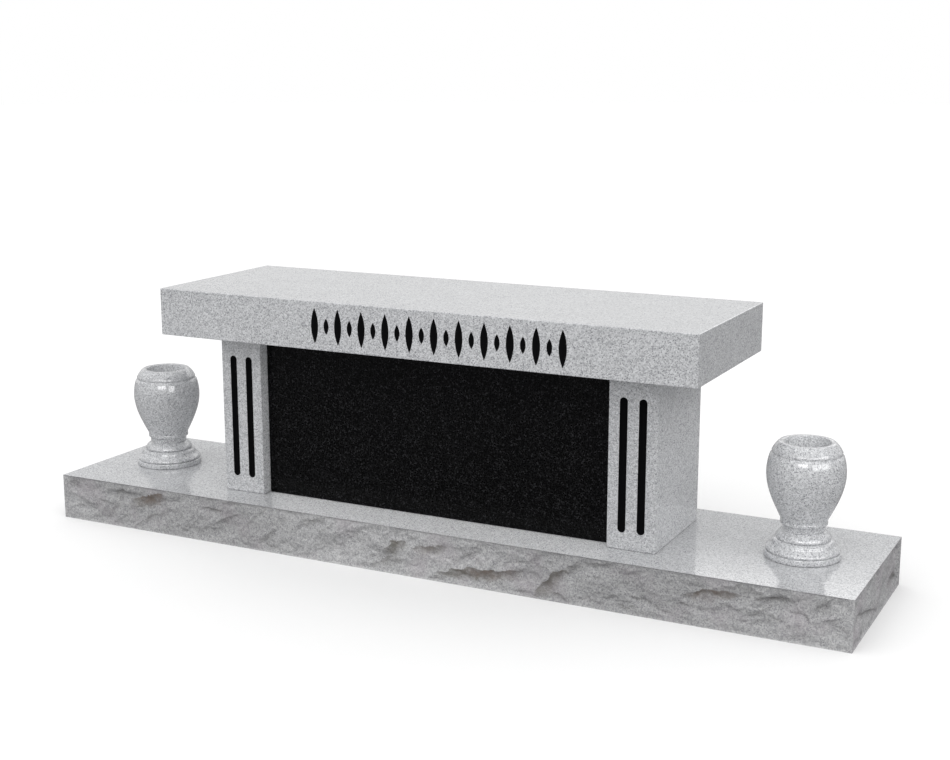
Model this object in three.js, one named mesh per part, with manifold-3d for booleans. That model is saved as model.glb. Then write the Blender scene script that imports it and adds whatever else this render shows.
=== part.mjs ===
// A granite memorial bench: a long base slab with rock-pitched sides, two fluted pedestals with a
// black granite block set between them, a plain seat slab, and a turned vase at each end of the base.
// Millimetres, +Z up, +X along the bench, -Y the front. The origin is the middle of the underside.
import * as THREE from 'three';
import { mergeVertices } from 'three/addons/utils/BufferGeometryUtils.js';
import Module from 'manifold-3d';

const wasm = await Module();
wasm.setup();

const inch = 25.4;

// The slabs, as a mason would order them in whole inches.
const base = { length: 72 * inch, depth: 16 * inch, height: 4 * inch };
const seat = { length: 48 * inch, depth: 16 * inch, height: 4 * inch };
const pedestal = { length: 4 * inch, depth: 10 * inch, height: 14 * inch };
const panelDepth = 8 * inch;
const pedestalCentre = 18 * inch;
const vaseCentre = 30.125 * inch;

// The bed left between two stones that meet, and the flat taken off every sawn edge.
const bed = 0.3;
const ease = 1.5;

// Two round-ended flutes in the front of each pedestal.
const flute = { width: 16.5, depth: 6, length: 272, spread: 40, above: 35, sides: 20, endSteps: 4 };

// A row of shallow pointed strokes along the front of the seat, tall and short in turn.
const strokeRow = { length: 573, centre: 62.5, tallCount: 11, arcSteps: 8 };
const tallStroke = { height: 75, width: 17, depth: 4.5 };
const shortStroke = { height: 34, width: 12, depth: 3.5 };

// The pitched face: shallow scoops, wider than they are high, that meet in ridges. Each scoop has its
// own reach, as a share of its cell, and its own share of the full depth.
const pitch = {
  cellLength: 95,
  cellHeight: 42,
  reach: [0.6, 1.1],
  depth: 7,
  depthShare: [0.35, 1],
  lean: 0.55,
  arris: 26,
};
const pitchGrid = { across: 30, rows: 6 };

// The vase, in inches of radius and of height above the base. Each curve has its two ends and, between
// them, the two handles that bend it.
const vase = {
  sides: 24,
  footRadius: 2.94,
  footHeight: 0.46,
  roll: [[2.79, 0.5], [2.87, 0.56], [2.86, 0.7], [2.7, 0.8]],
  flare: [[2.7, 0.8], [2.5, 0.93], [2.42, 1.05], [2.4, 1.14]],
  lowerRound: [[2.4, 1.14], [2.38, 1.29], [2.28, 1.36], [2.1, 1.4]],
  upperRound: [[2.1, 1.48], [2.12, 1.76], [1.86, 1.92], [1.64, 2.06]],
  grooveDepth: 0.1,
  bead: 0.08,
  neckRadius: 1.62,
  collar: { radius: 1.8, from: 2.62, to: 2.86 },
  swell: [[1.8, 3], [2.35, 4.1], [2.99, 5.3], [2.99, 6.6]],
  shoulder: [[2.99, 6.6], [2.99, 7.5], [2.72, 8.5], [2.1, 9]],
  lipGroove: 8.1,
  height: 9,
  boreRadius: 1.75,
  boreFloor: 4.5,
};

const greyGranite = { color: 0xc4c5c8, roughness: 0.35, metalness: 0 };
const pitchedGranite = { color: 0x9b9a9b, roughness: 0.9, metalness: 0 };
const blackGranite = { color: 0x101012, roughness: 0.3, metalness: 0 };

// A closed solid that can be cut or joined, from a geometry whose edges are shared.
function toSolid(geometry) {
  const bare = geometry.clone();
  bare.deleteAttribute('normal');
  bare.deleteAttribute('uv');
  const merged = mergeVertices(bare, 1e-3);
  const index = merged.index.array;
  const kept = [];
  for (let i = 0; i < index.length; i += 3) {
    const [a, b, c] = [index[i], index[i + 1], index[i + 2]];
    if (a !== b && b !== c && c !== a) kept.push(a, b, c);
  }
  return new wasm.Manifold(new wasm.Mesh({
    numProp: 3,
    vertProperties: new Float32Array(merged.attributes.position.array),
    triVerts: new Uint32Array(kept),
  }));
}

function toGeometry(solid) {
  const mesh = solid.getMesh();
  const geometry = new THREE.BufferGeometry();
  geometry.setAttribute('position', new THREE.BufferAttribute(mesh.vertProperties, 3));
  geometry.setIndex(new THREE.BufferAttribute(mesh.triVerts, 1));
  geometry.computeVertexNormals();
  return geometry;
}

function cutAll(geometry, cutters) {
  const tools = cutters.map(toSolid);
  const result = tools.reduce((stone, tool) => stone.subtract(tool), toSolid(geometry));
  return toGeometry(result);
}

// A sawn block on z = 0 with a narrow flat along every edge.
function easedBlock(length, depth, height) {
  const x = length / 2;
  const y = depth / 2;
  const outline = new THREE.Shape([
    new THREE.Vector2(-x + ease, -y),
    new THREE.Vector2(x - ease, -y),
    new THREE.Vector2(x, -y + ease),
    new THREE.Vector2(x, y - ease),
    new THREE.Vector2(x - ease, y),
    new THREE.Vector2(-x + ease, y),
    new THREE.Vector2(-x, y - ease),
    new THREE.Vector2(-x, -y + ease),
  ]);
  const block = new THREE.ExtrudeGeometry(outline, {
    depth: height - 2 * ease,
    bevelEnabled: true,
    bevelThickness: ease,
    bevelSize: ease,
    bevelOffset: -ease,
    bevelSegments: 1,
  });
  return block.translate(0, 0, ease);
}

function noise(i, j, salt) {
  const wave = Math.sin(i * 127.1 + j * 311.7 + salt * 74.7) * 43758.5453;
  return wave - Math.floor(wave);
}

// How far the pitched face lies behind its arris, at a distance along the girth and a height.
const girth = 2 * (base.length + base.depth);
const cellsRound = Math.round(girth / pitch.cellLength);
function pitchDepth(along, height) {
  const cell = girth / cellsRound;
  const column = Math.floor(along / cell);
  const row = Math.floor(height / pitch.cellHeight);
  let deepest = 0;
  for (let i = column - 2; i <= column + 2; i += 1) {
    const key = (i + cellsRound) % cellsRound;
    for (let j = row - 2; j <= row + 2; j += 1) {
      const rise = height - (j + noise(key, j, 2)) * pitch.cellHeight;
      const run = along - (i + noise(key, j, 1)) * cell + pitch.lean * rise;
      const reach = THREE.MathUtils.lerp(...pitch.reach, noise(key, j, 3));
      const spread = (run / (cell * reach)) ** 2 + (rise / (pitch.cellHeight * reach)) ** 2;
      const share = THREE.MathUtils.lerp(...pitch.depthShare, noise(key, j, 4));
      const bowl = pitch.depth * share * (1 - spread);
      deepest = Math.max(deepest, bowl);
    }
  }
  const edge = Math.min(height, base.height - height) / pitch.arris;
  return deepest * THREE.MathUtils.smoothstep(edge, 0, 1);
}

// The base slab: a sawn top and underside, and pitched sides whose top and bottom edges are straight.
function pitchedSlab() {
  const { length, depth, height } = base;
  const corners = [
    [-length / 2, -depth / 2],
    [length / 2, -depth / 2],
    [length / 2, depth / 2],
    [-length / 2, depth / 2],
  ];
  const girthPoints = [];
  let walked = 0;
  corners.forEach(([x, y], side) => {
    const [nextX, nextY] = corners[(side + 1) % 4];
    const run = Math.hypot(nextX - x, nextY - y);
    const steps = Math.round(run / pitchGrid.across);
    const inward = [-(nextY - y) / run, (nextX - x) / run];
    for (let step = 0; step < steps; step += 1) {
      const share = step / steps;
      girthPoints.push({
        x: x + (nextX - x) * share,
        y: y + (nextY - y) * share,
        inward,
        corner: step === 0,
        along: walked + run * share,
      });
    }
    walked += run;
  });

  const position = [];
  for (let row = 0; row <= pitchGrid.rows; row += 1) {
    const z = (height * row) / pitchGrid.rows;
    for (const point of girthPoints) {
      const sunk = point.corner ? 0 : pitchDepth(point.along, z);
      position.push(point.x + point.inward[0] * sunk, point.y + point.inward[1] * sunk, z);
    }
  }
  const count = girthPoints.length;
  const faces = [];
  for (let row = 0; row < pitchGrid.rows; row += 1) {
    for (let i = 0; i < count; i += 1) {
      const a = row * count + i;
      const b = row * count + ((i + 1) % count);
      faces.push(a, b, b + count, a, b + count, a + count);
    }
  }
  const topRow = pitchGrid.rows * count;
  const centres = position.length / 3;
  position.push(0, 0, 0, 0, 0, height);
  for (let i = 0; i < count; i += 1) {
    const next = (i + 1) % count;
    faces.push(centres, next, i);
    faces.push(centres + 1, topRow + i, topRow + next);
  }
  const geometry = new THREE.BufferGeometry();
  geometry.setAttribute('position', new THREE.Float32BufferAttribute(position, 3));
  geometry.setIndex(faces);
  geometry.computeVertexNormals();
  return geometry;
}

// A pedestal: the flute's round section is centred outside the face, so that it is shallower than half.
function flutedPedestal() {
  const { length, depth, height } = pedestal;
  const radius = (flute.width ** 2 / 4 + flute.depth ** 2) / (2 * flute.depth);
  const cutters = [-1, 1].map((side) => {
    const straight = flute.length - flute.width;
    const cutter = new THREE.CapsuleGeometry(radius, straight, flute.endSteps, flute.sides);
    cutter.rotateX(Math.PI / 2);
    const proud = radius - flute.depth;
    return cutter.translate(
      (side * flute.spread) / 2,
      -depth / 2 - proud,
      flute.above - bed + flute.length / 2,
    );
  });
  return cutAll(easedBlock(length, depth, height - 2 * bed), cutters);
}

// A stroke's cutter: two arcs that meet in a point at each end, turned into a four-sided spindle.
function strokeCutter(stroke, x) {
  const half = stroke.height / 2;
  const side = stroke.width / 2;
  const arc = (half ** 2 + side ** 2) / (2 * side);
  const steps = strokeRow.arcSteps;
  const outline = [];
  for (let i = 0; i <= steps; i += 1) {
    const z = half * (2 * (i / steps) - 1);
    const radius = i % steps === 0 ? 0 : Math.sqrt(arc ** 2 - z ** 2) - (arc - side);
    outline.push(new THREE.Vector2(radius, z));
  }
  const cutter = new THREE.LatheGeometry(outline, 4);
  cutter.rotateX(Math.PI / 2);
  cutter.scale(1, stroke.depth / side, 1);
  return cutter.translate(x, -seat.depth / 2, seat.height / 2);
}

function carvedSeat() {
  const spaces = 2 * (strokeRow.tallCount - 1);
  const gap = (strokeRow.length - tallStroke.width) / spaces;
  const cutters = [];
  for (let i = 0; i <= spaces; i += 1) {
    const stroke = i % 2 === 0 ? tallStroke : shortStroke;
    cutters.push(strokeCutter(stroke, strokeRow.centre + (i - spaces / 2) * gap));
  }
  return cutAll(easedBlock(seat.length, seat.depth, seat.height), cutters);
}

function bend(handles, steps) {
  const curve = new THREE.CubicBezierCurve(...handles.map(([r, h]) => new THREE.Vector2(r, h)));
  return curve.getPoints(steps).map((point) => [point.x, point.y]);
}

function vaseProfile() {
  const { bead, roll, lowerRound, upperRound, collar, lipGroove, height } = vase;
  const ledge = lowerRound[3][1];
  const neckFoot = upperRound[3][1];
  const shoulder = bend(vase.shoulder, 8).slice(1);
  const below = shoulder.filter(([, h]) => h < lipGroove - bead);
  const above = shoulder.filter(([, h]) => h > lipGroove + bead);
  const grooveRadius = (below[below.length - 1][0] + above[0][0]) / 2 - vase.grooveDepth;
  return [
    [0, 0],
    [vase.footRadius - bead, 0],
    [vase.footRadius, bead],
    [vase.footRadius, vase.footHeight - bead],
    [roll[0][0] - vase.grooveDepth / 2, vase.footHeight],
    ...bend(roll, 3),
    ...bend(vase.flare, 3).slice(1),
    ...bend(lowerRound, 3).slice(1),
    [upperRound[0][0] - vase.grooveDepth, (ledge + upperRound[0][1]) / 2],
    ...bend(upperRound, 4),
    [vase.neckRadius - vase.grooveDepth / 2, neckFoot + bead / 2],
    [vase.neckRadius, neckFoot + bead],
    [vase.neckRadius, collar.from - 2 * bead],
    [collar.radius, collar.from],
    [collar.radius, collar.to],
    [collar.radius - vase.grooveDepth / 2, collar.to + bead / 2],
    [collar.radius, collar.to + bead],
    ...bend(vase.swell, 6),
    ...below,
    [grooveRadius, lipGroove],
    ...above,
    [vase.boreRadius + bead, height],
    [vase.boreRadius, height - bead],
    [vase.boreRadius, vase.boreFloor],
    [0, vase.boreFloor],
  ];
}

function turnedVase() {
  const outline = vaseProfile().map(([r, h]) => new THREE.Vector2(r * inch, h * inch));
  return new THREE.LatheGeometry(outline, vase.sides).rotateX(Math.PI / 2);
}

const bench = new THREE.Group();

function place(name, geometry, finish, x, z) {
  const mesh = new THREE.Mesh(geometry, new THREE.MeshStandardMaterial(finish));
  mesh.name = name;
  mesh.position.set(x, 0, z);
  bench.add(mesh);
}

const panelLength = 2 * pedestalCentre - pedestal.length - 2 * bed;
const panelHeight = pedestal.height - 2 * bed;

place('base_slab', pitchedSlab(), pitchedGranite, 0, 0);
place('left_pedestal', flutedPedestal(), greyGranite, -pedestalCentre, base.height + bed);
place('right_pedestal', flutedPedestal(), greyGranite, pedestalCentre, base.height + bed);
place(
  'centre_panel',
  easedBlock(panelLength, panelDepth, panelHeight),
  blackGranite,
  0,
  base.height + bed,
);
place('seat_slab', carvedSeat(), greyGranite, 0, base.height + pedestal.height);
place('left_vase', turnedVase(), greyGranite, -vaseCentre, base.height + bed);
place('right_vase', turnedVase(), greyGranite, vaseCentre, base.height + bed);

export default bench;
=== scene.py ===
# A granite memorial bench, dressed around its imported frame: a rock-pitched base with a polished
# top, fluted pedestals, a black granite block, a carved seat slab and two turned vases.
import math
import random

import bmesh
import bpy
import numpy as np
from mathutils import Matrix, Vector


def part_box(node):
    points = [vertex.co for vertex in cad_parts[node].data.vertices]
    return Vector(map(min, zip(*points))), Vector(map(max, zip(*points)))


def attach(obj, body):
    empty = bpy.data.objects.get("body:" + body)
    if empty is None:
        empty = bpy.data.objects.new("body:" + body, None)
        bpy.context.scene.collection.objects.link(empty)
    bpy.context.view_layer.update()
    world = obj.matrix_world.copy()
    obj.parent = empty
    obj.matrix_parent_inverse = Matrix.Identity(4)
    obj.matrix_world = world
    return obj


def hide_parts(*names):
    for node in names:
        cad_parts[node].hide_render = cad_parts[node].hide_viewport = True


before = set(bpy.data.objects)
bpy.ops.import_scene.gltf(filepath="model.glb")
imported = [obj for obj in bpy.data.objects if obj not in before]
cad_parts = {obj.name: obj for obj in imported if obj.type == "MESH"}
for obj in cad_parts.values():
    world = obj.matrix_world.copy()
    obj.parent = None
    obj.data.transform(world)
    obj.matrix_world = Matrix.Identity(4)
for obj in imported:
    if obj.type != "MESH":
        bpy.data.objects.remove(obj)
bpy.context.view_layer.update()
mm = 0.001
inch = 25.4  # in millimetres
print("frame loaded:", sorted(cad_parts))


def linearColour(hexText):
    channels = [int(hexText[at:at + 2], 16) / 255 for at in (1, 3, 5)]
    straight = [c / 12.92 if c <= 0.04045 else ((c + 0.055) / 1.055) ** 2.4 for c in channels]
    return (*straight, 1)


# Adds a node. Inputs are numbers, colours or other nodes' outputs; stops are a ramp's colours.
def addNode(tree, kind, inputs=None, stops=(), **settings):
    node = tree.nodes.new(kind)
    for name, value in settings.items():
        setattr(node, name, value)
    for socket, value in (inputs or {}).items():
        if isinstance(value, bpy.types.NodeSocket):
            tree.links.new(value, node.inputs[socket])
        else:
            node.inputs[socket].default_value = value
    for at, (position, hexText) in enumerate(stops):
        points = node.color_ramp.elements
        point = points[at] if at < 2 else points.new(position)
        point.position = position
        point.color = linearColour(hexText)
    return node


def newMaterial(name):
    material = bpy.data.materials.new(name)
    material.use_nodes = True
    material.node_tree.nodes.clear()
    return material


noiseSpan = (0.3, 0.7)  # where most values of a noise texture lie


# The crystals of a granite: each cell takes one mineral's colour, over a slow drift in brightness.
def graniteColour(tree, stone):
    place = addNode(tree, "ShaderNodeTexCoord").outputs["Object"]
    ragged = addNode(tree, "ShaderNodeTexNoise", {
        "Vector": place, "Scale": 1000 / stone["grainSize"], "Detail": 1})
    centred = addNode(tree, "ShaderNodeVectorMath", {
        0: ragged.outputs["Color"], 1: (0.5, 0.5, 0.5)}, operation="SUBTRACT")
    shift = addNode(tree, "ShaderNodeVectorMath", {
        0: centred.outputs[0], "Scale": stone["grainSize"] * mm}, operation="SCALE")
    bent = addNode(tree, "ShaderNodeVectorMath", {0: place, 1: shift.outputs[0]}, operation="ADD")
    crystals = addNode(tree, "ShaderNodeTexVoronoi", {
        "Vector": bent.outputs[0], "Scale": 1000 / stone["grainSize"]})
    pick = addNode(tree, "ShaderNodeSeparateColor", {0: crystals.outputs["Color"]})
    minerals = addNode(tree, "ShaderNodeValToRGB", {0: pick.outputs[0]}, stone["minerals"])
    minerals.color_ramp.interpolation = "CONSTANT"
    flecks = addNode(tree, "ShaderNodeTexVoronoi", {
        "Vector": bent.outputs[0], "Scale": 1000 / stone["fleckSize"]})
    fleckPick = addNode(tree, "ShaderNodeSeparateColor", {0: flecks.outputs["Color"]})
    fleckMask = addNode(tree, "ShaderNodeMath", {
        0: fleckPick.outputs[1], 1: stone["fleckShare"]}, operation="LESS_THAN")
    flecked = addNode(tree, "ShaderNodeMix", {
        0: fleckMask.outputs[0], 6: minerals.outputs[0], 7: linearColour(stone["fleckColour"])},
        data_type="RGBA")
    drift = addNode(tree, "ShaderNodeTexNoise", {
        "Vector": place, "Scale": 1000 / stone["driftSize"], "Detail": 2})
    light = addNode(tree, "ShaderNodeMapRange", {
        "Value": drift.outputs[0], "From Min": noiseSpan[0], "From Max": noiseSpan[1],
        "To Min": 1 - stone["drift"], "To Max": 1 + stone["drift"]})
    shaded = addNode(tree, "ShaderNodeVectorMath", {
        0: flecked.outputs[2], "Scale": light.outputs[0]}, operation="SCALE")
    return shaded.outputs[0], fleckMask.outputs[0]


# Light grey granite, sawn and polished: a fine salt and pepper under a clear wet-looking gloss.
polishedGrey = {
    "grainSize": 2.2,
    "minerals": [(0, "#a9aaad"), (0.2, "#bebfc1"), (0.5, "#cbccce"), (0.8, "#d7d8da")],
    "fleckSize": 1.6,
    "fleckShare": 0.1,
    "fleckColour": "#85868a",
    "driftSize": 60,
    "drift": 0.03,
    "gloss": (0.1, 0.24),  # roughness on the feldspar and on the softer mica flecks
    "ior": 1.54,
    "sealer": 0.15,
    "drilled": 0.75,  # the roughness that a core drill leaves in a bore
    "drillDepth": 0.4,
}


def makePolishedGrey(stone):
    material = newMaterial("polishedGreyGranite")
    tree = material.node_tree
    colour, fleckMask = graniteColour(tree, stone)
    gloss = addNode(tree, "ShaderNodeMapRange", {
        "Value": fleckMask, "To Min": stone["gloss"][0], "To Max": stone["gloss"][1]})
    skin = addNode(tree, "ShaderNodeBsdfPrincipled", {
        "Base Color": colour, "Roughness": gloss.outputs[0], "IOR": stone["ior"],
        "Coat Weight": stone["sealer"], "Coat Roughness": stone["gloss"][0]})
    addNode(tree, "ShaderNodeOutputMaterial", {"Surface": skin.outputs[0]})
    return material


# The inside of a bore, as the core drill leaves it: the same crystals, matt and pitted.
def makeDrilledGrey(stone):
    material = newMaterial("drilledGreyGranite")
    tree = material.node_tree
    colour, _ = graniteColour(tree, stone)
    place = addNode(tree, "ShaderNodeTexCoord").outputs["Object"]
    grit = addNode(tree, "ShaderNodeTexNoise", {
        "Vector": place, "Scale": 1000 / stone["grainSize"], "Detail": 2})
    bumps = addNode(tree, "ShaderNodeBump", {
        "Height": grit.outputs[0], "Distance": stone["drillDepth"] * mm})
    skin = addNode(tree, "ShaderNodeBsdfPrincipled", {
        "Base Color": colour, "Roughness": stone["drilled"], "IOR": stone["ior"],
        "Normal": bumps.outputs[0]})
    addNode(tree, "ShaderNodeOutputMaterial", {"Surface": skin.outputs[0]})
    return material


# The same granite broken by a pitching chisel: dull, darker and leathery, here and there a little
# mauve, with brown and olive iron stain held under its flakes and painted shade under their lips.
pitchedGrey = {
    "grainSize": 2.4,
    "minerals": [(0, "#9a9a9c"), (0.25, "#a8a8a9"), (0.5, "#b3b3b4"), (0.8, "#bdbdbd")],
    "fleckSize": 1.8,
    "fleckShare": 0.06,
    "fleckColour": "#87878a",
    "driftSize": 140,
    "drift": 0.06,
    # Each cast, painted shade or stain grows over a span of its mask and then covers this share.
    # Painted shade: under each flake's lip the colour is darkened towards this grey.
    "paintedShadeUnderLip": "#5a5855",
    "shadeSpan": (0.06, 0.55),
    "shadeShare": 0.65,
    "mauve": "#a59da3",
    "mauveSize": 100,
    "mauveSpan": (0.5, 0.68),
    "mauveShare": 0.4,
    "iron": [(0.42, "#77746a"), (0.6, "#80736a")],
    "ironSize": 60,
    "ironSpan": (0.08, 0.55),
    "ironShare": 0.75,
    "crumbSize": 16,
    "paler": 0.12,  # how much the block's colour changes along its length
    "leatherSize": 6,
    "leatherDepth": 2,
    "roughness": 0.88,
    "ior": 1.5,
    "specular": 0.3,
}


def makePitchedGrey(stone):
    material = newMaterial("rockPitchedGranite")
    tree = material.node_tree
    colour, _ = graniteColour(tree, stone)
    place = addNode(tree, "ShaderNodeTexCoord").outputs["Object"]
    patches = addNode(tree, "ShaderNodeTexNoise", {
        "Vector": place, "Scale": 1000 / stone["mauveSize"], "Detail": 3})
    cast = addNode(tree, "ShaderNodeMapRange", {
        "Value": patches.outputs[0], "From Min": stone["mauveSpan"][0],
        "From Max": stone["mauveSpan"][1], "To Max": stone["mauveShare"]})
    tinted = addNode(tree, "ShaderNodeMix", {
        0: cast.outputs[0], 6: colour, 7: linearColour(stone["mauve"])}, data_type="RGBA")
    pale = addNode(tree, "ShaderNodeAttribute", attribute_name="pale").outputs["Fac"]
    lightness = addNode(tree, "ShaderNodeMapRange", {
        "Value": pale, "From Min": -1, "To Min": 1 - stone["paler"], "To Max": 1 + stone["paler"]})
    drifting = addNode(tree, "ShaderNodeVectorMath", {
        0: tinted.outputs[2], "Scale": lightness.outputs[0]}, operation="SCALE")
    # Painted shade under the flakes' lips, from the base's attribute, broken up by the crumbs.
    paintedShade = addNode(tree, "ShaderNodeAttribute", attribute_name="paintedShade").outputs["Fac"]
    crumbs = addNode(tree, "ShaderNodeTexNoise", {
        "Vector": place, "Scale": 1000 / stone["crumbSize"], "Detail": 3})
    held = addNode(tree, "ShaderNodeMath", {
        0: paintedShade, 1: crumbs.outputs[0]}, operation="MULTIPLY")
    dusk = addNode(tree, "ShaderNodeMapRange", {
        "Value": held.outputs[0], "From Min": stone["shadeSpan"][0],
        "From Max": stone["shadeSpan"][1], "To Max": stone["shadeShare"]})
    darkened = addNode(tree, "ShaderNodeMix", {
        0: dusk.outputs[0], 6: drifting.outputs[0], 7: linearColour(stone["paintedShadeUnderLip"])},
        data_type="RGBA")
    seeps = addNode(tree, "ShaderNodeTexNoise", {
        "Vector": place, "Scale": 1000 / stone["ironSize"], "Detail": 4})
    iron = addNode(tree, "ShaderNodeValToRGB", {0: seeps.outputs[0]}, stone["iron"])
    stain = addNode(tree, "ShaderNodeAttribute", attribute_name="stain").outputs["Fac"]
    seeped = addNode(tree, "ShaderNodeMath", {
        0: stain, 1: crumbs.outputs[0]}, operation="MULTIPLY")
    rusted = addNode(tree, "ShaderNodeMapRange", {
        "Value": seeped.outputs[0], "From Min": stone["ironSpan"][0],
        "From Max": stone["ironSpan"][1], "To Max": stone["ironShare"]})
    stained = addNode(tree, "ShaderNodeMix", {
        0: rusted.outputs[0], 6: darkened.outputs[2], 7: iron.outputs[0]}, data_type="RGBA")
    leather = addNode(tree, "ShaderNodeTexNoise", {
        "Vector": place, "Scale": 1000 / stone["leatherSize"], "Detail": 4, "Roughness": 0.65})
    bumps = addNode(tree, "ShaderNodeBump", {
        "Height": leather.outputs[0], "Distance": stone["leatherDepth"] * mm, "Strength": 1})
    skin = addNode(tree, "ShaderNodeBsdfPrincipled", {
        "Base Color": stained.outputs[2], "Roughness": stone["roughness"], "IOR": stone["ior"],
        "Specular IOR Level": stone["specular"], "Normal": bumps.outputs[0]})
    addNode(tree, "ShaderNodeOutputMaterial", {"Surface": skin.outputs[0]})
    return material


# Black granite, polished: almost without diffuse light, with a faint grey spark in each crystal.
# Its reflection in the other stones is painted pale: glossy rays see a white diffuse surface in its
# place, as the polished base shows no dark reflection in front of it.
polishedBlack = {
    "grainSize": 2.6,
    "minerals": [(0, "#050506"), (0.35, "#0f0f10"), (0.65, "#19191a"), (0.88, "#2b2b2d")],
    "fleckSize": 2.0,
    "fleckShare": 0.3,
    "fleckColour": "#030303",
    "driftSize": 90,
    "drift": 0.1,
    "roughness": 0.18,
    "ior": 1.54,
    "specular": 0.07,
    "image": "#ffffff",
}


def makePolishedBlack(stone):
    material = newMaterial("polishedBlackGranite")
    tree = material.node_tree
    colour, _ = graniteColour(tree, stone)
    skin = addNode(tree, "ShaderNodeBsdfPrincipled", {
        "Base Color": colour, "Roughness": stone["roughness"], "IOR": stone["ior"],
        "Specular IOR Level": stone["specular"]})
    # Painted reflection: glossy rays see this white diffuse surface instead of the black stone.
    image = addNode(tree, "ShaderNodeBsdfDiffuse", {"Color": linearColour(stone["image"])})
    path = addNode(tree, "ShaderNodeLightPath")
    both = addNode(tree, "ShaderNodeMixShader", {
        0: path.outputs["Is Glossy Ray"], 1: skin.outputs[0], 2: image.outputs[0]})
    addNode(tree, "ShaderNodeOutputMaterial", {"Surface": both.outputs[0]})
    return material


# Black stone paint over a blasted groove: flat and dead, with the blast's fine pits showing.
stonePaint = {
    "colour": "#060607",
    "thin": "#111113",
    "pitSize": 3,
    "pitDepth": 0.2,
    "roughness": 0.8,
    "specular": 0.04,
}


def makeStonePaint(paint):
    material = newMaterial("blackStonePaint")
    tree = material.node_tree
    place = addNode(tree, "ShaderNodeTexCoord").outputs["Object"]
    pits = addNode(tree, "ShaderNodeTexNoise", {
        "Vector": place, "Scale": 1000 / paint["pitSize"], "Detail": 3})
    coat = addNode(tree, "ShaderNodeMix", {
        0: pits.outputs[0], 6: linearColour(paint["colour"]), 7: linearColour(paint["thin"])},
        data_type="RGBA")
    bumps = addNode(tree, "ShaderNodeBump", {
        "Height": pits.outputs[0], "Distance": paint["pitDepth"] * mm})
    skin = addNode(tree, "ShaderNodeBsdfPrincipled", {
        "Base Color": coat.outputs[2], "Roughness": paint["roughness"],
        "Specular IOR Level": paint["specular"], "Normal": bumps.outputs[0]})
    addNode(tree, "ShaderNodeOutputMaterial", {"Surface": skin.outputs[0]})
    return material


greyGranite = makePolishedGrey(polishedGrey)
drilledGranite = makeDrilledGrey(polishedGrey)
pitchedGranite = makePitchedGrey(pitchedGrey)
blackGranite = makePolishedBlack(polishedBlack)
blackPaint = makeStonePaint(stonePaint)
print("materials made")


def newPiece(name, mesh, *materials):
    for material in materials:
        mesh.materials.append(material)
    piece = bpy.data.objects.new(name, mesh)
    bpy.context.scene.collection.objects.link(piece)
    return piece


# Turns what the modifiers make into the piece's own plain mesh.
def settle(piece):
    graph = bpy.context.evaluated_depsgraph_get()
    mesh = bpy.data.meshes.new_from_object(piece.evaluated_get(graph))
    piece.modifiers.clear()
    piece.data = mesh


def hand(piece, slot, *replaced):
    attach(piece, "root")
    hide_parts(*replaced)


def setInputs(modifier, values):
    for socket in modifier.node_group.interface.items_tree:
        if socket.in_out == "INPUT" and socket.name in values:
            modifier[socket.identifier] = values[socket.name]


def newTree(name, sockets):
    tree = bpy.data.node_groups.new(name, "GeometryNodeTree")
    tree.interface.new_socket("Geometry", in_out="INPUT", socket_type="NodeSocketGeometry")
    for socketName, kind in sockets.items():
        tree.interface.new_socket(socketName, in_out="INPUT", socket_type=kind)
    tree.interface.new_socket("Geometry", in_out="OUTPUT", socket_type="NodeSocketGeometry")
    return tree


# A profile of (radius, height) turned about the upright axis. A radius of nought closes a pole.
def lathe(name, profile, sides):
    points = []
    rings = []
    for radius, height in profile:
        count = sides if radius > 0 else 1
        rings.append([len(points) + k for k in range(count)])
        for k in range(count):
            angle = 2 * math.pi * k / sides
            points.append((radius * math.cos(angle), radius * math.sin(angle), height))
    faces = []
    for lower, upper in zip(rings, rings[1:]):
        for k in range(sides):
            after = (k + 1) % sides
            if len(lower) == 1:
                faces.append((lower[0], upper[after], upper[k]))
            elif len(upper) == 1:
                faces.append((lower[k], lower[after], upper[0]))
            else:
                faces.append((lower[k], lower[after], upper[after], upper[k]))
    mesh = bpy.data.meshes.new(name)
    mesh.from_pydata(points, [], faces)
    return mesh


easeSteps = 3


# A sawn block between two corners, with every edge eased.
def easedBlock(name, low, high, ease, material):
    body = bmesh.new()
    bmesh.ops.create_cube(body, size=1)
    middle = (low + high) / 2
    bmesh.ops.transform(
        body, matrix=Matrix.Translation(middle) @ Matrix.Diagonal((*(high - low), 1)),
        verts=body.verts)
    bmesh.ops.bevel(
        body, geom=body.edges[:] + body.verts[:], offset=ease, segments=easeSteps, profile=0.5,
        affect="EDGES")
    mesh = bpy.data.meshes.new(name)
    body.to_mesh(mesh)
    body.free()
    return newPiece(name, mesh, material)


# Repeats one cutter along a line and gives the row its material.
def makeCutterTree():
    tree = newTree("cutterRow", {
        "Count": "NodeSocketInt", "Start": "NodeSocketVector", "Step": "NodeSocketVector",
        "Material": "NodeSocketMaterial"})
    given = addNode(tree, "NodeGroupInput").outputs
    line = addNode(tree, "GeometryNodeMeshLine", {
        "Count": given["Count"], "Start Location": given["Start"], "Offset": given["Step"]})
    copies = addNode(tree, "GeometryNodeInstanceOnPoints", {
        "Points": line.outputs[0], "Instance": given["Geometry"]})
    solid = addNode(tree, "GeometryNodeRealizeInstances", {0: copies.outputs[0]})
    dressed = addNode(tree, "GeometryNodeSetMaterial", {
        "Geometry": solid.outputs[0], "Material": given["Material"]})
    addNode(tree, "NodeGroupOutput", {0: dressed.outputs[0]})
    return tree


cutterTree = makeCutterTree()


def cutterRow(name, mesh, count, start, step):
    row = newPiece(name, mesh)
    repeat = row.modifiers.new("row", "NODES")
    repeat.node_group = cutterTree
    setInputs(repeat, {"Count": count, "Start": start, "Step": step, "Material": blackPaint})
    settle(row)
    return row


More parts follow.
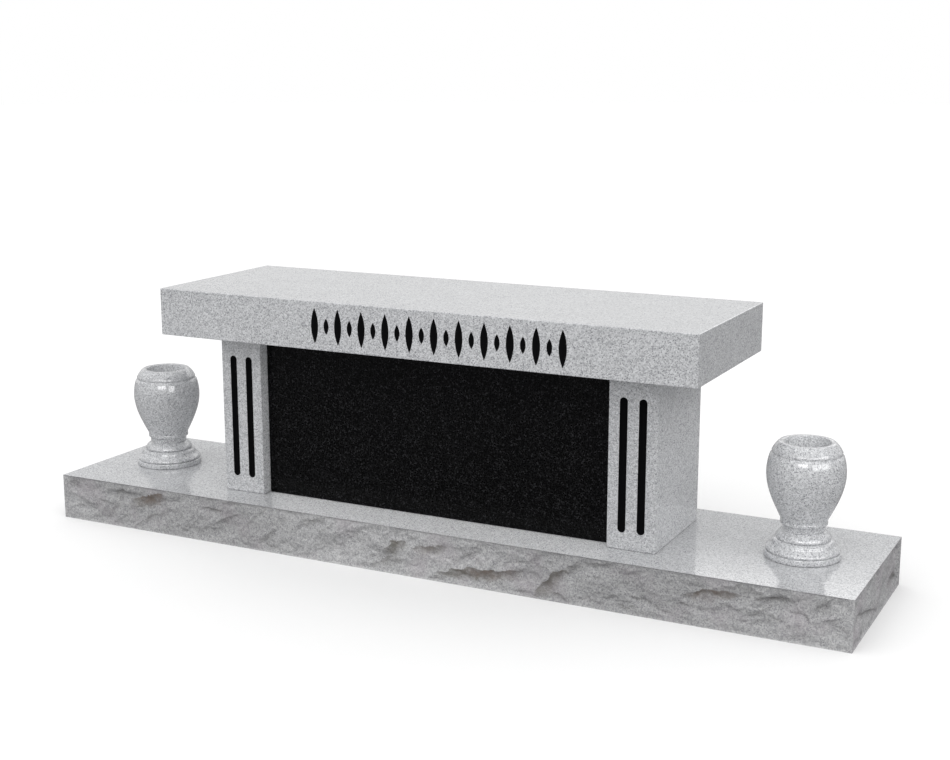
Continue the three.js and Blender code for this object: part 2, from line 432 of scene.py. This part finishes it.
# Cuts the rows out of a block. The cut faces keep the cutters' paint.
def carve(block, rows):
    for row in rows:
        cut = block.modifiers.new("carving", "BOOLEAN")
        cut.operation = "DIFFERENCE"
        cut.solver = "EXACT"
        cut.material_mode = "TRANSFER"
        cut.object = row
    block.modifiers.new("faces", "TRIANGULATE")
    settle(block)
    for row in rows:
        bpy.data.objects.remove(row)


stoneEdge = 1.5 * mm

seatSlab = {
    "rowLength": 573,
    "rowCentre": 62.5,
    "tallCount": 11,
    "tall": {"height": 75, "width": 17, "depth": 4.5},
    "short": {"height": 34, "width": 12, "depth": 3.5},
    "arcSteps": 24,
}


# A spindle of two arcs, four-sided so that it leaves a cut with a V section.
def strokeMesh(name, stroke, steps):
    half = stroke["height"] / 2
    side = stroke["width"] / 2
    arc = (half ** 2 + side ** 2) / (2 * side)
    profile = []
    for i in range(steps + 1):
        z = half * (2 * i / steps - 1)
        radius = math.sqrt(arc ** 2 - z ** 2) - (arc - side) if 0 < i < steps else 0
        profile.append((radius * mm, z * mm))
    mesh = lathe(name, profile, 4)
    mesh.transform(Matrix.Diagonal((1, stroke["depth"] / side, 1, 1)))
    return mesh


def makeSeat(seat):
    low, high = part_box("seat_slab")
    block = easedBlock("carvedSeat", low, high, stoneEdge, greyGranite)
    gap = (seat["rowLength"] - seat["tall"]["width"]) / (2 * seat["tallCount"] - 2) * mm
    middle = (low + high) / 2
    first = seat["rowCentre"] * mm - gap * (seat["tallCount"] - 1)
    rows = []
    tall, short = seat["tallCount"], seat["tallCount"] - 1
    for name, count, x in (("tall", tall, first), ("short", short, first + gap)):
        stroke = strokeMesh(name + "Stroke", seat[name], seat["arcSteps"])
        start = (middle.x + x, low.y, middle.z)
        rows.append(cutterRow(name + "Strokes", stroke, count, start, (2 * gap, 0, 0)))
    carve(block, rows)
    hand(block, "grey_granite", "seat_slab")
    return block


seat = makeSeat(seatSlab)
print("seat carved")

pedestalBlock = {
    "fluteWidth": 16.5,
    "fluteDepth": 6,
    "fluteLength": 272,
    "fluteSpread": 40,
    "fluteAbove": 34.7,  # from the block's underside to the foot of the flute
    "sides": 64,
    "endSteps": 16,
}


# A flute's cutter is a round-ended bar that stands mostly in front of the face.
def fluteMesh(radius, straight, sides, steps):
    turns = [math.pi / 2 * i / steps for i in range(steps + 1)]
    foot = [(radius * math.sin(turn), -straight / 2 - radius * math.cos(turn)) for turn in turns]
    head = [(radius * math.cos(turn), straight / 2 + radius * math.sin(turn)) for turn in turns]
    head[-1] = (0, straight / 2 + radius)
    return lathe("fluteCutter", [(r * mm, z * mm) for r, z in foot + head], sides)


def makePedestal(name, node, block):
    low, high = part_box(node)
    stone = easedBlock(name, low, high, stoneEdge, greyGranite)
    width = block["fluteWidth"]
    depth = block["fluteDepth"]
    radius = (width ** 2 / 4 + depth ** 2) / (2 * depth)
    cutter = fluteMesh(radius, block["fluteLength"] - width, block["sides"], block["endSteps"])
    middle = (low + high) / 2
    start = (
        middle.x - block["fluteSpread"] / 2 * mm,
        low.y - (radius - depth) * mm,
        low.z + (block["fluteAbove"] + block["fluteLength"] / 2) * mm,
    )
    rows = [cutterRow("flutes", cutter, 2, start, (block["fluteSpread"] * mm, 0, 0))]
    carve(stone, rows)
    hand(stone, "grey_granite", node)
    return stone


pedestals = [
    makePedestal(side + "Pedestal", side + "_pedestal", pedestalBlock)
    for side in ("left", "right")]
print("pedestals fluted")


def makeBlackBlock():
    low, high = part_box("centre_panel")
    block = easedBlock("blackBlock", low, high, stoneEdge, blackGranite)
    hand(block, "black_granite", "centre_panel")


makeBlackBlock()
print("black block set")

pitchedBase = {
    "step": 2.2,
    "scoopLength": 95,
    "scoopHeight": 42,
    "scoopReach": (0.6, 1.1),
    "scoopDepth": 7,
    "depthShare": (0.35, 1),
    "lean": 0.55,
    # The height over which the scoops, the terraces and the flakes die out towards a straight edge.
    "arris": 26,
    "terraceArris": 13,
    "flakeArris": 3,
    "corner": 18,
    # The waves that pull scoops and flakes out of line, and those that lay out the terraces: reach
    # (in terraces for the last), length and height.
    "swayAlong": [(8, 34, 22), (4, 12, 9)],
    "swayUp": [(5, 40, 24), (4, 13, 9), (4 / 3, 5, 4)],
    "terraceWaves": [(2, 85, 30), (0.8, 85 / 2.3, 30 / 2.3)],
    "terraceTurn": 32,  # the angle at which the terraces rise to the right
    "terraceStep": 2.1,
    "scarp": 0.3,  # how much of a terrace's rise is steep
    # The flakes that show from in front: distance round the slab, height of the lip, half length,
    # height over which the face leans back below the lip, the lip's slope, depth, share of stain.
    "flakes": [
        (29, 83, 22, 9, 0.12, 3.5, 0.1),
        (120, 53, 19, 4, -0.2, 3, 0),
        (165, 88, 24, 18, 0.2, 4, 0.2),
        (238, 84, 56, 22, 0.18, 6, 1),
        (228, 28, 34, 9, 0.55, 3, 0),
        (415, 80, 36, 8, 0.08, 4, 0.4),
        (462, 66, 32, 12, 0.35, 2.5, 0),
        (476, 97, 24, 7, 0.1, 2.5, 0.1),
        (563, 42, 22, 14, 0.7, 3, 0),
        (566, 18, 14, 10, 0.1, 2.5, 0.2),
        (632, 100, 30, 4, 0, 2, 0),
        (838, 49, 20, 3, 0, 2, 0),
        (880, 72, 30, 24, 0.45, 5, 0.7),
        (862, 30, 46, 16, 0.35, 4, 0.2),
        (962, 76, 42, 20, 0.1, 3.5, 0.6),
        (985, 13, 26, 8, 0.1, 3, 0.1),
        (1002, 52, 20, 3, 0.05, 2, 0),
        (1080, 42, 106, 18, 0.13, 6.5, 0.9),
        (1172, 13, 22, 5, 0.1, 2.5, 0),
        (1232, 52, 40, 26, 0.75, 5, 0.6),
        (1240, 17, 30, 9, 0.05, 4, 0.2),
        (1280, 84, 24, 16, 0.6, 3, 0),
        (1310, 17, 32, 4, -0.1, 2.5, 0),
        (1321, 64, 22, 4, 0.05, 2.5, 0),
        (1335, 96, 20, 9, 0.3, 3, 0),
        (1390, 16, 19, 5, 0.25, 3, 0),
        (1420, 39, 24, 8, -0.05, 3, 0),
        (1508, 38, 23, 4, -0.03, 3.5, 0),
        (1560, 72, 64, 13, 0.14, 5.5, 0.7),
        (1622, 96, 44, 20, 0, 3, 0),
        (1678, 82, 42, 10, -0.05, 5, 0.2),
        (1675, 44, 20, 3, -0.1, 2.5, 0),
        (1724, 56, 24, 4, -0.2, 3.5, 0),
        (1766, 92, 14, 24, 0.3, 3, 0),
        (1893, 46, 20, 7, -0.2, 3.5, 0),
        (1962, 38, 75, 8, -0.27, 5, 0),
        (2029, 95, 28, 6, -0.16, 3.5, 0),
        (2187, 36, 44, 18, 0, 5, 0.1),
    ],
    # The rest are drawn at random between two flakes: the back and the left end, short cracks, and
    # faint scarps that rise to the right.
    "looseFlakes": [
        (26, (2240, 14, 20, 6, -0.3, 2.5, 0), (4460, 98, 80, 20, 0.6, 6, 0.6)),
        (80, (0, 8, 8, 2.5, -0.3, 1.2, 0), (4470, 94, 26, 5, 0.35, 2.6, 0)),
        (60, (0, 10, 22, 8, 0.2, 0.8, 0), (4470, 100, 55, 16, 1.1, 2.4, 0)),
    ],
    "arch": 0.5,  # how far a lip falls at its ends, as a share of its lean
    "leastLean": 0.5,
    "foot": (6, 1.6),  # the height over which a hollow comes forward again: least, and per lean
    "darkDepth": 5,  # the depth from which the painted shade under a lip is full
    "duskReach": 2,  # how far below a lip its painted shade goes, and its stain, in leans
    "stainReach": 2.4,
    "paleWave": (850, 1100),  # where the stone is palest along its girth, and how often
    "leatherSize": 8,
    "leatherDepth": 2.6,
    "chipSize": 28,
    "chipDepth": 4,
    "chipSpan": (0.1, 0.8),  # where a chip's shell rises from its middle to its rim
    "sharpAngle": 60,
    "seed": 7,
}

# Every use of the hash has its own salt, so that no two patterns agree.
scoopSalts = {"along": 1, "up": 2, "reach": 3, "depth": 4}
swaySalts = {"along": 21, "up": 23}
terraceSalt = 31


# A number from 0 to 1 that looks random: the fraction of a large, fast sine.
def hashed(i, j, salt):
    wave = np.sin(i * 127.1 + j * 311.7 + salt * 74.7) * 43758.5453
    return wave - np.floor(wave)


def smooth(value):
    held = np.clip(value, 0, 1)
    return held * held * (3 - 2 * held)


# Soft noise from -1 to 1 over a plane, on cells one unit wide.
def softNoise(u, v, salt):
    i, j = np.floor(u), np.floor(v)
    a, b = smooth(u - i), smooth(v - j)
    lower = hashed(i, j, salt) * (1 - a) + hashed(i + 1, j, salt) * a
    upper = hashed(i, j + 1, salt) * (1 - a) + hashed(i + 1, j + 1, salt) * a
    return 2 * (lower * (1 - b) + upper * b) - 1


# Waves of soft noise, one over the other.
def ripple(along, up, waves, salt):
    return sum(
        reach * softNoise(along / length, up / height, salt + i)
        for i, (reach, length, height) in enumerate(waves))


# The broad scoops follow the same rule as the plain solid's.
def scoopDepth(along, height, girth, slab):
    cellsRound = round(girth / slab["scoopLength"])
    cell = girth / cellsRound
    column = np.floor(along / cell)
    row = np.floor(height / slab["scoopHeight"])
    least, most = slab["scoopReach"]
    shallow, deep = slab["depthShare"]
    deepest = np.zeros_like(along)
    for across in range(-2, 3):
        for up in range(-2, 3):
            i, j = column + across, row + up
            key = np.mod(i, cellsRound)
            drawn = {name: hashed(key, j, salt) for name, salt in scoopSalts.items()}
            rise = height - (j + drawn["up"]) * slab["scoopHeight"]
            run = along - (i + drawn["along"]) * cell + slab["lean"] * rise
            reach = least + (most - least) * drawn["reach"]
            spread = (run / (cell * reach)) ** 2 + (rise / (slab["scoopHeight"] * reach)) ** 2
            share = shallow + (deep - shallow) * drawn["depth"]
            deepest = np.maximum(deepest, slab["scoopDepth"] * share * (1 - spread))
    return deepest


# Broad flat breaks that lie one behind the other, with a short steep scarp between them.
def terraceDepth(along, height, slab):
    turn = math.radians(slab["terraceTurn"])
    uphill = along * math.cos(turn) + height * math.sin(turn)
    across = height * math.cos(turn) - along * math.sin(turn)
    level = ripple(uphill, across, slab["terraceWaves"], terraceSalt)
    flat = np.floor(level)
    steep = smooth((level - flat - 1 + slab["scarp"]) / slab["scarp"])
    return slab["terraceStep"] * (flat + steep)


# Under a flake's lip the face leans back, so that it looks down, and then comes forward again.
# It also gives the painted shade just under the lip and the iron stain that seeps below it.
def flakeRelief(along, height, slab):
    draw = random.Random(slab["seed"])
    flakes = list(slab["flakes"])
    for count, least, most in slab["looseFlakes"]:
        flakes += [[draw.uniform(a, b) for a, b in zip(least, most)] for _ in range(count)]
    leastFoot, footShare = slab["foot"]
    fall, shade, stain = (np.zeros_like(along) for _ in range(3))
    for place, lip, half, lean, slope, depth, iron in flakes:
        run = along - place
        ends = np.clip(1 - (run / half) ** 2, 0, 1)
        below = lip + slope * run - slab["arch"] * lean * (1 - ends) - height
        under = np.sqrt(ends) * (below > 0)
        reach = np.maximum(lean * np.sqrt(ends), slab["leastLean"])
        back = 1 - (1 - np.clip(below / reach, 0, 1)) ** 2
        forward = smooth((below - reach) / (leastFoot + footShare * lean))
        fall = np.maximum(fall, depth * under * back * (1 - forward))
        # Painted shade: darkest at the lip, fading out further down.
        dusk = under * (1 - smooth(below / (slab["duskReach"] * reach)))
        shade = np.maximum(shade, dusk * min(1, depth / slab["darkDepth"]))
        seep = under * (1 - smooth(below / (slab["stainReach"] * reach)))
        stain = np.maximum(stain, iron * seep)
    return fall, shade, stain


# The leathery break between the flakes: small shells and a fine grain, pushed in from the face.
def makeLeatherTree(chipSpan):
    tree = newTree("brokenFace", {
        "ChipSize": "NodeSocketFloat", "ChipDepth": "NodeSocketFloat",
        "LeatherSize": "NodeSocketFloat", "LeatherDepth": "NodeSocketFloat",
        "Seed": "NodeSocketFloat", "Face": "NodeSocketMaterial", "Top": "NodeSocketMaterial"})
    given = addNode(tree, "NodeGroupInput").outputs
    inward = addNode(
        tree, "GeometryNodeInputNamedAttribute", {0: "inward"}, data_type="FLOAT_VECTOR")
    pitched = addNode(
        tree, "GeometryNodeInputNamedAttribute", {0: "pitched"}, data_type="BOOLEAN")
    place = addNode(tree, "GeometryNodeInputPosition").outputs[0]
    offset = addNode(tree, "ShaderNodeCombineXYZ", {
        0: given["Seed"], 1: given["Seed"], 2: given["Seed"]})
    moved = addNode(tree, "ShaderNodeVectorMath", {
        0: place, 1: offset.outputs[0]}, operation="ADD")
    chipScale = addNode(tree, "ShaderNodeMath", {
        0: 1, 1: given["ChipSize"]}, operation="DIVIDE")
    chips = addNode(tree, "ShaderNodeTexVoronoi", {
        "Vector": moved.outputs[0], "Scale": chipScale.outputs[0], "Detail": 1, "Roughness": 0.4},
        feature="SMOOTH_F1")
    shells = addNode(tree, "ShaderNodeMapRange", {
        "Value": chips.outputs["Distance"], "From Min": chipSpan[0], "From Max": chipSpan[1],
        "To Min": 1, "To Max": 0})
    chipFall = addNode(tree, "ShaderNodeMath", {
        0: shells.outputs[0], 1: given["ChipDepth"]}, operation="MULTIPLY")
    leatherScale = addNode(tree, "ShaderNodeMath", {
        0: 1, 1: given["LeatherSize"]}, operation="DIVIDE")
    leather = addNode(tree, "ShaderNodeTexNoise", {
        "Vector": moved.outputs[0], "Scale": leatherScale.outputs[0], "Detail": 3,
        "Roughness": 0.6})
    fall = addNode(tree, "ShaderNodeMath", {
        0: leather.outputs[0], 1: given["LeatherDepth"], 2: chipFall.outputs[0]},
        operation="MULTIPLY_ADD")
    push = addNode(tree, "ShaderNodeVectorMath", {
        0: inward.outputs[0], "Scale": fall.outputs[0]}, operation="SCALE")
    broken = addNode(tree, "GeometryNodeSetPosition", {
        "Geometry": given["Geometry"], "Offset": push.outputs[0]})
    solid = addNode(tree, "GeometryNodeRealizeInstances", {0: broken.outputs[0]})
    topped = addNode(tree, "GeometryNodeSetMaterial", {
        "Geometry": solid.outputs[0], "Material": given["Top"]})
    dressed = addNode(tree, "GeometryNodeSetMaterial", {
        "Geometry": topped.outputs[0], "Selection": pitched.outputs[0], "Material": given["Face"]})
    addNode(tree, "NodeGroupOutput", {0: dressed.outputs[0]})
    return tree


# Walks the slab's girth from the front left corner, along the front, the right end and the back.
def girthWalk(length, depth, step):
    corners = [(-length, -depth), (length, -depth), (length, depth), (-length, depth)]
    places, inwards, alongs, fromCorner = [], [], [], []
    walked = 0
    for side, start in enumerate(corners):
        startPoint = np.array(start) / 2
        endPoint = np.array(corners[(side + 1) % 4]) / 2
        run = np.linalg.norm(endPoint - startPoint)
        shares = np.arange(round(run / step)) / round(run / step)
        ahead = (endPoint - startPoint) / run
        places.append(startPoint + np.outer(shares, endPoint - startPoint))
        inwards.append(np.tile((-ahead[1], ahead[0]), (len(shares), 1)))
        alongs.append(walked + shares * run)
        fromCorner.append(np.minimum(shares, 1 - shares) * run)
        walked += run
    return (np.concatenate(places), np.concatenate(inwards), np.concatenate(alongs),
            np.concatenate(fromCorner), walked)


def makeBase(slab):
    low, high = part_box("base_slab")
    length, depth, height = (high - low) / mm
    place, inward, along, fromCorner, girth = girthWalk(length, depth, slab["step"])
    rows = round(height / slab["step"])
    levels = np.linspace(0, height, rows + 1)
    s, h = np.meshgrid(along, levels)
    bentS = s + ripple(s, h, slab["swayAlong"], swaySalts["along"])
    bentH = h + ripple(s, h, slab["swayUp"], swaySalts["up"])
    fromArris = np.minimum(h, height - h)
    atCorner = smooth(fromCorner / slab["corner"])
    scoops = scoopDepth(bentS, bentH, girth, slab) * smooth(fromArris / slab["arris"])
    terraces = terraceDepth(bentS, bentH, slab) * smooth(fromArris / slab["terraceArris"])
    flakeFall, shade, stain = flakeRelief(bentS, bentH, slab)
    edge = smooth(fromArris / slab["flakeArris"]) * atCorner
    sunk = np.maximum(scoops + terraces, 0) * atCorner + flakeFall * edge
    points = np.empty((rows + 1, len(along), 3))
    points[:, :, :2] = place[None] + inward[None] * sunk[:, :, None]
    points[:, :, 2] = levels[:, None]
    flat = points.reshape(-1, 3)
    count = len(along)
    total = len(flat)
    centres = np.array([(0, 0, 0), (0, 0, height)])
    faces = []
    for row in range(rows):
        for i in range(count):
            a, b = row * count + i, row * count + (i + 1) % count
            faces.append((a, b, b + count, a + count))
    sideFaces = len(faces)
    for i in range(count):
        after = (i + 1) % count
        faces.append((total, after, i))
        faces.append((total + 1, rows * count + i, rows * count + after))
    mesh = bpy.data.meshes.new("pitchedBase")
    mesh.from_pydata(np.concatenate([flat, centres]) * mm + np.array([0, 0, low.z]), [], faces)
    piece = newPiece("pitchedBase", mesh)

    push = np.zeros((total + 2, 3))
    push[:total, :2] = (inward[None] * edge[:, :, None]).reshape(-1, 2)
    mesh.attributes.new("inward", "FLOAT_VECTOR", "POINT").data.foreach_set("vector", push.ravel())
    palest, wave = slab["paleWave"]
    pale = np.cos(2 * math.pi * (s - palest) / wave)
    # The painted shade under the lips, the iron stain and the paleness along the girth go to the
    # material.
    for attribute, share in (("paintedShade", shade * edge), ("stain", stain * edge), ("pale", pale)):
        held = np.zeros(total + 2)
        held[:total] = share.ravel()
        mesh.attributes.new(attribute, "FLOAT", "POINT").data.foreach_set("value", held)
    onFace = np.arange(len(faces)) < sideFaces
    mesh.attributes.new("pitched", "BOOLEAN", "FACE").data.foreach_set("value", onFace)
    mesh.polygons.foreach_set("use_smooth", onFace)

    breaking = piece.modifiers.new("brokenFace", "NODES")
    breaking.node_group = makeLeatherTree(slab["chipSpan"])
    setInputs(breaking, {
        "ChipSize": slab["chipSize"] * mm, "ChipDepth": slab["chipDepth"] * mm,
        "LeatherSize": slab["leatherSize"] * mm, "LeatherDepth": slab["leatherDepth"] * mm,
        "Seed": float(slab["seed"]), "Face": pitchedGranite, "Top": greyGranite})
    settle(piece)
    piece.data.set_sharp_from_angle(angle=math.radians(slab["sharpAngle"]))
    hand(piece, "pitched_granite", "base_slab")
    print("base pitched:", len(piece.data.polygons), "faces")


makeBase(pitchedBase)

# Inches of radius and of height above the foot. Each curve has its two ends and, between them, the
# two handles that bend it.
turnedVase = {
    "sides": 96,
    "footRadius": 2.94,
    "footHeight": 0.46,
    "roll": [(2.79, 0.5), (2.87, 0.56), (2.86, 0.7), (2.7, 0.8)],
    "flare": [(2.7, 0.8), (2.5, 0.93), (2.42, 1.05), (2.4, 1.14)],
    "lowerRound": [(2.4, 1.14), (2.38, 1.29), (2.28, 1.36), (2.1, 1.4)],
    "upperRound": [(2.1, 1.48), (2.12, 1.76), (1.86, 1.92), (1.64, 2.06)],
    "groove": 0.1,
    "bead": 0.08,
    "neckRadius": 1.62,
    "collarRadius": 1.8,
    "collar": (2.62, 2.86),
    "swell": [(1.8, 3), (2.35, 4.1), (2.99, 5.3), (2.99, 6.6)],
    "shoulder": [(2.99, 6.6), (2.99, 7.5), (2.72, 8.5), (2.1, 9)],
    "lipGroove": 8.1,
    "height": 9,
    "boreRadius": 1.75,
    "boreFloor": 4.5,
    "steps": 24,
    "cornerSteps": 4,
    "sharpAngle": 50,
}


def bend(handles, steps):
    points = []
    for i in range(steps + 1):
        t = i / steps
        weights = ((1 - t) ** 3, 3 * t * (1 - t) ** 2, 3 * t * t * (1 - t), t ** 3)
        points.append(tuple(sum(w * p[axis] for w, p in zip(weights, handles)) for axis in (0, 1)))
    return points


# An outside corner rounded by a quarter circle, from one heading to the next.
def roundedCorner(radius, height, bead, startTurn, steps):
    upward = math.copysign(1, math.sin(startTurn + math.pi / 4))
    turns = [startTurn + math.pi / 2 * i / steps for i in range(steps + 1)]
    return [
        (radius - bead + bead * math.cos(turn), height - bead * upward + bead * math.sin(turn))
        for turn in turns]


def vaseProfile(vase):
    bead, groove, lip = vase["bead"], vase["groove"], vase["lipGroove"]
    roll, lower, upper = vase["roll"], vase["lowerRound"], vase["upperRound"]
    neckFoot = upper[-1][1]
    collarFrom, collarTo = vase["collar"]
    foot, steps, cornerSteps = vase["footRadius"], vase["steps"], vase["cornerSteps"]
    under, over = -math.pi / 2, 0  # where a corner's turn starts
    shoulder = bend(vase["shoulder"], steps)[1:]
    below = [point for point in shoulder if point[1] < lip - bead]
    above = [point for point in shoulder if point[1] > lip + bead]
    grooveRadius = (below[-1][0] + above[0][0]) / 2 - groove
    return [
        (0, 0),
        *roundedCorner(foot, 0, bead, under, cornerSteps),
        *roundedCorner(foot, vase["footHeight"], bead, over, cornerSteps),
        (roll[0][0] - groove / 2, vase["footHeight"]),
        *bend(roll, steps // 2),
        *bend(vase["flare"], steps // 2)[1:],
        *bend(lower, steps // 2)[1:],
        (upper[0][0] - groove, (lower[-1][1] + upper[0][1]) / 2),
        *bend(upper, steps),
        (vase["neckRadius"] - groove / 2, neckFoot + bead / 2),
        (vase["neckRadius"], neckFoot + bead),
        (vase["neckRadius"], collarFrom - 2 * bead),
        *roundedCorner(vase["collarRadius"], collarFrom, bead / 2, under, cornerSteps),
        *roundedCorner(vase["collarRadius"], collarTo, bead / 2, over, cornerSteps),
        (vase["collarRadius"] - groove / 2, collarTo + bead / 2),
        (vase["collarRadius"], collarTo + bead),
        *bend(vase["swell"], steps),
        *below,
        (grooveRadius, lip),
        *above,
        (vase["boreRadius"] + bead, vase["height"]),
        (vase["boreRadius"], vase["height"] - bead),
        (vase["boreRadius"], vase["boreFloor"]),
        (0, vase["boreFloor"]),
    ]


def makeVase(name, node, vase):
    low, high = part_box(node)
    profile = [(radius * inch * mm, height * inch * mm) for radius, height in vaseProfile(vase)]
    mesh = lathe(name, profile, vase["sides"])
    floor, wall = vase["boreFloor"] * inch * mm, vase["boreRadius"] * inch * mm
    slack = mm / 10
    for face in mesh.polygons:
        inBore = face.center.z > floor - slack and math.hypot(*face.center.xy) < wall + slack
        face.material_index = int(inBore)
    mesh.transform(Matrix.Translation(((low.x + high.x) / 2, (low.y + high.y) / 2, low.z)))
    mesh.polygons.foreach_set("use_smooth", [True] * len(mesh.polygons))
    mesh.set_sharp_from_angle(angle=math.radians(vase["sharpAngle"]))
    piece = newPiece(name, mesh, greyGranite, drilledGranite)
    hand(piece, "grey_granite", node)
    return piece


vases = [
    makeVase(side + "Vase", side + "_vase", turnedVase)
    for side in ("left", "right")]
print("vases turned")

studio = {
    "lens": 57.47,
    "cameraPlace": (1.4636, -2.7978, 1.0579),
    "cameraTarget": (0.05166, 0, 0.38072),
    "floorRadius": 30,
    "floorSides": 128,
    "floorColour": "#fafafa",
    "floorGlow": 0.05,
    "bounceColour": "#959596",
    "paperRoughness": 0.95,
    "roomGlow": 0.8,
    # What a soft key and a flag add to the room's glow: degrees round to the right from the front,
    # degrees up, and strength. Each falls off as this power of the cosine.
    "lobes": {"key": (14, 45, 0.86), "flag": (90, 0, -0.16)},
    "lobePower": 2,
    # The lamps that only the gloss shows: place, aim, size, radiance, and whether only the vases
    # get their light.
    "softboxes": {
        "windowBox": ((1.0, -4.46, 2.3), (0.4, 0, 0.2), (2.6, 1.8), 8, True),
        "sideBox": ((4.2, -1.9, 1.9), (0.8, 0, 0.2), (4.4, 2.4), 5, True),
        "backBox": ((-0.02, 4.16, 2.45), (0.9, -0.2, 0.1), (4, 1.6), 1.2, False),
    },
    # The lamps that light one stone each and leave no image in its gloss: the right vase, and the
    # right pedestal's side below the seat's shadow.
    "vaseFill": ((1.9, -1.5, 0.9), (0.765, 0, 0.25), (0.8, 0.8), 2.5),
    "sideFill": ((2.5, 0.6, 2.6), (0.508, 0, 0.3), (1.6, 2.4), 2.3),
}


def aim(thing, place, target):
    thing.location = place
    turn = Vector(target) - Vector(place)
    thing.rotation_euler = turn.to_track_quat("-Z", "Y").to_euler()


# Matte paper: no gloss, an even pale field. A faint glow of its own lifts the sheet that is seen.
def makePaper(name, hexText, glow, studio):
    body = bmesh.new()
    bmesh.ops.create_circle(
        body, cap_ends=True, radius=studio["floorRadius"], segments=studio["floorSides"])
    mesh = bpy.data.meshes.new(name)
    body.to_mesh(mesh)
    body.free()
    material = newMaterial(name + "Paper")
    tree = material.node_tree
    skin = addNode(tree, "ShaderNodeBsdfPrincipled", {
        "Base Color": linearColour(hexText), "Roughness": studio["paperRoughness"],
        "Specular IOR Level": 0, "Emission Color": (1, 1, 1, 1), "Emission Strength": glow})
    addNode(tree, "ShaderNodeOutputMaterial", {"Surface": skin.outputs[0]})
    sheet = newPiece(name, mesh, material)
    return sheet


# The eye sees a white sheet, and the stone is lit by a greyer one just below it, as if flags held
# the studio's light off the floor.
def makeFloor(studio):
    seen = makePaper("studioFloor", studio["floorColour"], studio["floorGlow"], studio)
    seen.visible_diffuse = False
    seen.visible_glossy = False
    seen.visible_shadow = False
    bounce = makePaper("bounceFloor", studio["bounceColour"], 0, studio)
    bounce.visible_camera = False
    bounce.visible_shadow = False
    bounce.data.transform(Matrix.Translation((0, 0, -mm)))


# The room is white to the eye. To the stone it glows evenly, more in front and less on the right.
def makeRoom(studio):
    world = bpy.data.worlds.new("softStudio")
    bpy.context.scene.world = world
    world.use_nodes = True
    tree = world.node_tree
    tree.nodes.clear()
    heading = addNode(tree, "ShaderNodeTexCoord").outputs["Generated"]
    glow = studio["roomGlow"]
    for around, up, strength in studio["lobes"].values():
        around, up = math.radians(around), math.radians(up)
        middle = (math.cos(up) * math.sin(around), -math.cos(up) * math.cos(around), math.sin(up))
        towards = addNode(tree, "ShaderNodeVectorMath", {
            0: heading, 1: middle}, operation="DOT_PRODUCT")
        ahead = addNode(tree, "ShaderNodeMath", {
            0: towards.outputs["Value"], 1: 0}, operation="MAXIMUM")
        lobe = addNode(tree, "ShaderNodeMath", {
            0: ahead.outputs[0], 1: studio["lobePower"]}, operation="POWER")
        glow = addNode(tree, "ShaderNodeMath", {
            0: lobe.outputs[0], 1: strength, 2: glow}, operation="MULTIPLY_ADD").outputs[0]
    lit = addNode(tree, "ShaderNodeBackground", {"Color": (1, 1, 1, 1), "Strength": glow})
    seen = addNode(tree, "ShaderNodeBackground", {"Color": (1, 1, 1, 1)})
    path = addNode(tree, "ShaderNodeLightPath")
    both = addNode(tree, "ShaderNodeMixShader", {
        0: path.outputs["Is Camera Ray"], 1: lit.outputs[0], 2: seen.outputs[0]})
    addNode(tree, "ShaderNodeOutputWorld", {"Surface": both.outputs[0]})


def makeLamp(name, place, target, size, radiance):
    light = bpy.data.lights.new(name, "AREA")
    light.shape = "RECTANGLE"
    light.size, light.size_y = size
    light.energy = math.pi * size[0] * size[1] * radiance
    lamp = bpy.data.objects.new(name, light)
    aim(lamp, place, target)
    lamp.visible_camera = False
    bpy.context.scene.collection.objects.link(lamp)
    return lamp


def groupOf(name, pieces):
    group = bpy.data.collections.new(name)
    for piece in pieces:
        group.objects.link(piece)
    return group


def makeLights(studio, seat, pedestal, vases):
    litVases = groupOf("litVases", vases)
    for name, (*lampSettings, onlyVases) in studio["softboxes"].items():
        lamp = makeLamp(name, *lampSettings)
        lamp.visible_diffuse = False
        if onlyVases:
            lamp.light_linking.receiver_collection = litVases
    for name, shading in (("vaseFill", [vases[1]]), ("sideFill", [pedestal, seat])):
        lamp = makeLamp(name, *studio[name])
        lamp.visible_glossy = False
        lamp.light_linking.receiver_collection = groupOf(name + "Lit", shading[:1])
        lamp.light_linking.blocker_collection = groupOf(name + "Shading", shading)


def makeCamera(studio):
    lens = bpy.data.cameras.new("camera")
    lens.lens = studio["lens"]
    camera = bpy.data.objects.new("camera", lens)
    aim(camera, studio["cameraPlace"], studio["cameraTarget"])
    bpy.context.scene.collection.objects.link(camera)
    bpy.context.scene.camera = camera


makeFloor(studio)
makeRoom(studio)
makeLights(studio, seat, pedestals[1], vases)
makeCamera(studio)
bpy.context.scene.view_settings.view_transform = "Standard"
print("studio lit")
